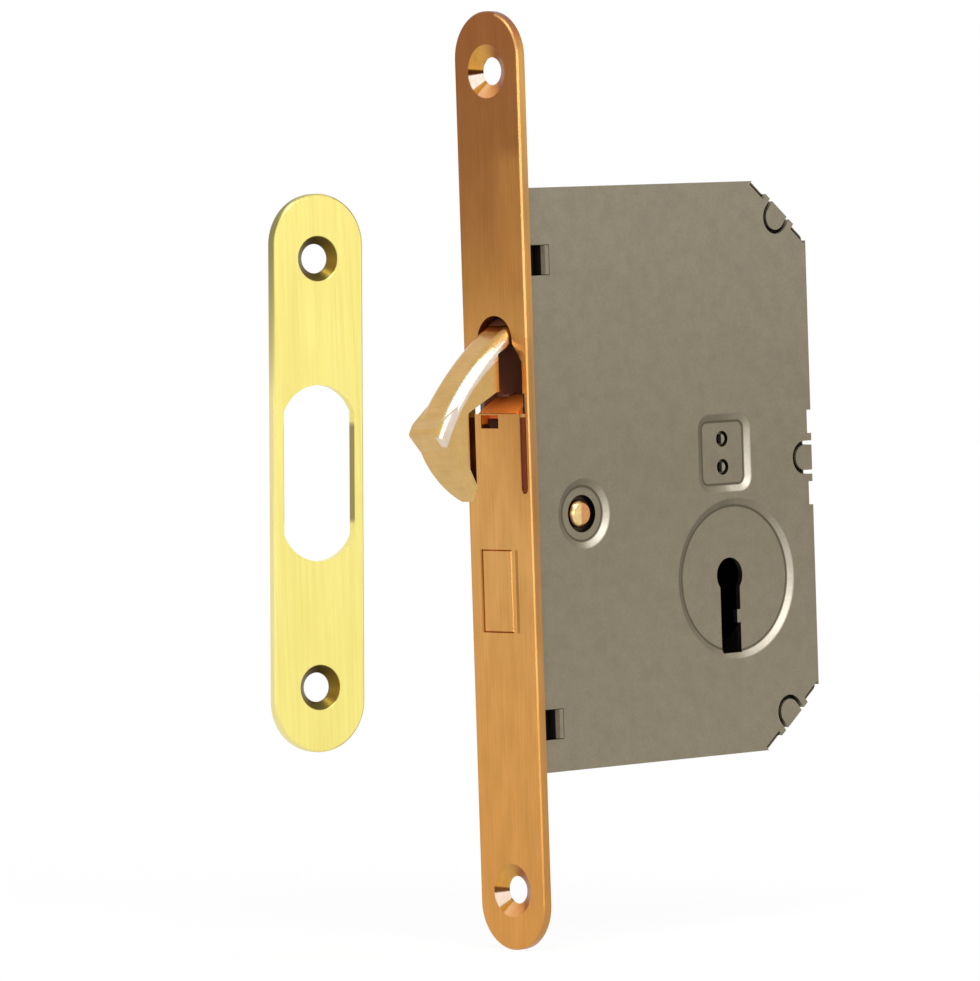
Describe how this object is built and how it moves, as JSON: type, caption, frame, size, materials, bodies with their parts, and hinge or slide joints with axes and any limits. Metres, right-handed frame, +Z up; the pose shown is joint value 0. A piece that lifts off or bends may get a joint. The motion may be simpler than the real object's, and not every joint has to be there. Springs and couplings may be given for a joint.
{
  "type": "sliding door hook lock",
  "caption": "Mortise lock for a sliding patio door: round-ended forend, swinging hook bolt, pressed case with keyhole and inner levers, and a separate slotted strike plate.",
  "frame": {"origin": "centre of the forend plate's front face, midway between its two screws", "axes": "+X into the door, -X towards the jamb, +Z up, -Y the side of the case that carries the cover"},
  "size_m": [0.1462, 0.0196, 0.196],
  "materials": {
    "forend_bronze": "satin, brushed lengthwise",
    "hook_gold": "polished",
    "case_steel": "satin, yellow passivated",
    "strike_brass": "brushed lengthwise",
    "pin_brass": "turned",
    "inner_steel": "bright zinc",
    "lever_brass": "stamped",
    "spring_steel": "blued"
  },
  "bodies": {
    "lock_case": {"forend_plate": "forend_bronze", "forend_anchor_block": "forend_bronze", "forend_lug_upper": "case_steel", "forend_lug_lower": "case_steel", "case_box": "case_steel", "case_cover": "case_steel", "hook_pivot_pin": "pin_brass", "hook_washer_near": "inner_steel", "hook_washer_far": "inner_steel", "hook_stop_pin": "inner_steel", "slide_guide": "inner_steel", "lever_post": "inner_steel", "lever_spacer": "inner_steel", "spring_post": "inner_steel", "strike_plate": "strike_brass"},
    "hook": {"hook_bolt": "hook_gold", "hook_drive_stud": "inner_steel"},
    "drive_slide": {"bolt_slide": "inner_steel", "slide_stump": "inner_steel"},
    "front_lever": {"lever_1": "lever_brass", "lever_spring_1": "spring_steel"},
    "rear_lever": {"lever_2": "lever_brass", "lever_spring_2": "spring_steel"}
  },
  "joints": [
    {"name": "hook_swing", "type": "hinge", "parent": "lock_case", "child": "hook", "pos_m": [0.0173, 0, -0.0075], "axis": [0, 1, 0], "range_deg": [0, 46]},
    {"name": "slide_draw", "type": "slide", "parent": "lock_case", "child": "drive_slide", "axis": [1, 0, 0], "range_m": [0, 0.0137]},
    {"name": "lever_1_lift", "type": "hinge", "parent": "lock_case", "child": "front_lever", "pos_m": [0.076, 0, 0.0085], "axis": [0, 1, 0], "range_deg": [0, 7.6], "deforming": ["lever_spring_1"]},
    {"name": "lever_2_lift", "type": "hinge", "parent": "lock_case", "child": "rear_lever", "pos_m": [0.076, 0, 0.0085], "axis": [0, 1, 0], "range_deg": [0, 7.6], "deforming": ["lever_spring_2"]}
  ],
  "couplings": [
    {"joint": "slide_draw", "follows": "hook_swing", "m_per_rad": 0.017034},
    {"joint": "lever_1_lift", "follows": "hook_swing", "ratio": 0.16304},
    {"joint": "lever_2_lift", "follows": "hook_swing", "ratio": 0.16304}
  ]
}
